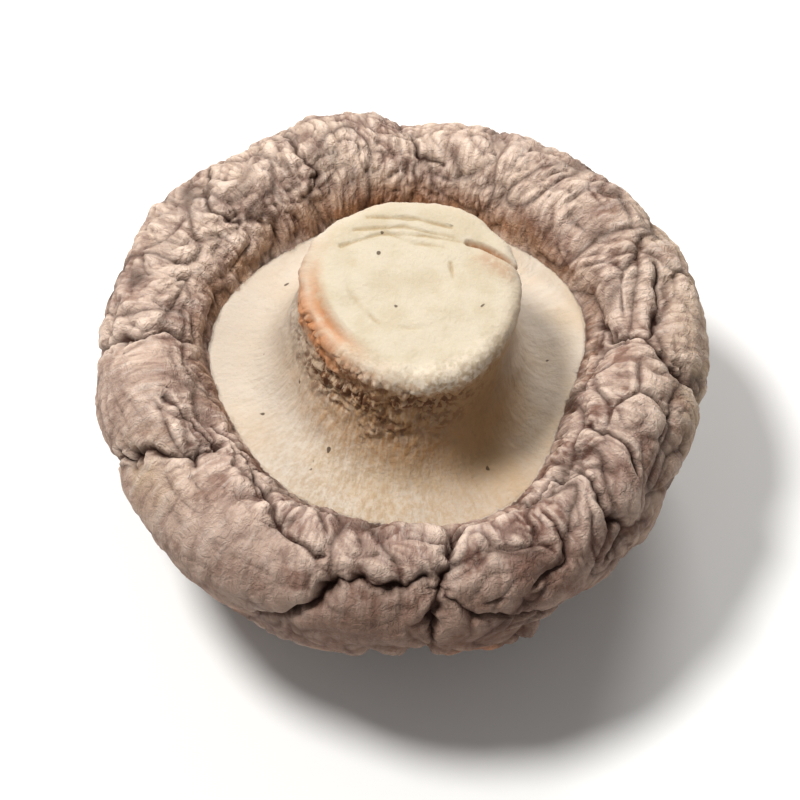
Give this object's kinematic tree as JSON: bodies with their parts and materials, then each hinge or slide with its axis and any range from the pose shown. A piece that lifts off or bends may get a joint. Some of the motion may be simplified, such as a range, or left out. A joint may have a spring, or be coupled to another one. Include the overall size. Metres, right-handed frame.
{
  "type": "dried shiitake mushroom",
  "caption": "Dried shiitake mushroom lying on its cap: wrinkled brown rolled rim around a cream gill surface and a thick, cut, off-white stem, grown as one piece.",
  "frame": {"origin": "middle of the small flat patch on the crown of the cap that the mushroom rests on", "axes": "+Z from the crown up through the cut stem; +X the way the stem leans"},
  "size_m": [0.0492, 0.0484, 0.026],
  "materials": {
    "cap_skin": "dry, matt and finely wrinkled, with darker creases",
    "gill_flesh": "dry and matt, with fine radial fibres",
    "stem_flesh": "dry and fibrous, with a smooth cut face"
  },
  "bodies": {
    "root": {"mushroom": "cap_skin"}
  },
  "joints": []
}
